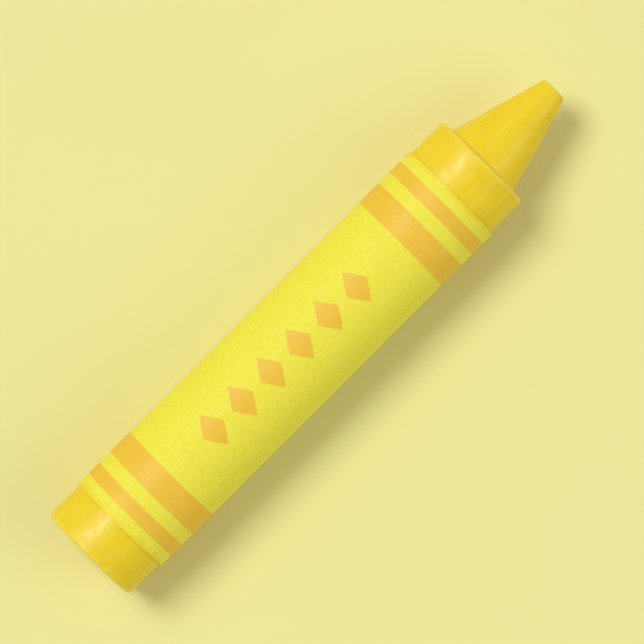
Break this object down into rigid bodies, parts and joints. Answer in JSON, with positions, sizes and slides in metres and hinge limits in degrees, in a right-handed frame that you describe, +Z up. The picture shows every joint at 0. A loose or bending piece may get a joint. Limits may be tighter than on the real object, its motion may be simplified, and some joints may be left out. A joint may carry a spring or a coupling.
{
  "type": "crayon",
  "caption": "Thick round wax crayon with a blunt cone tip and a flat butt, in a pasted paper label with printed bands and plain lozenges.",
  "frame": {"origin": "on the surface the crayon lies on, under the middle of its length", "axes": "+X along the crayon towards its tip, +Z up out of the surface"},
  "size_m": [0.092, 0.0162, 0.0163],
  "materials": {
    "wax": "satin",
    "label_paper": "matte",
    "label_ink": "matte",
    "paste": "matte"
  },
  "bodies": {
    "root": {"wax_stick": "wax", "paste_film": "paste", "paper_label": "label_paper", "butt_end_narrow_band": "label_ink", "butt_end_wide_band": "label_ink", "tip_end_wide_band": "label_ink", "tip_end_narrow_band": "label_ink", "panel_marks": "label_ink"}
  },
  "joints": []
}
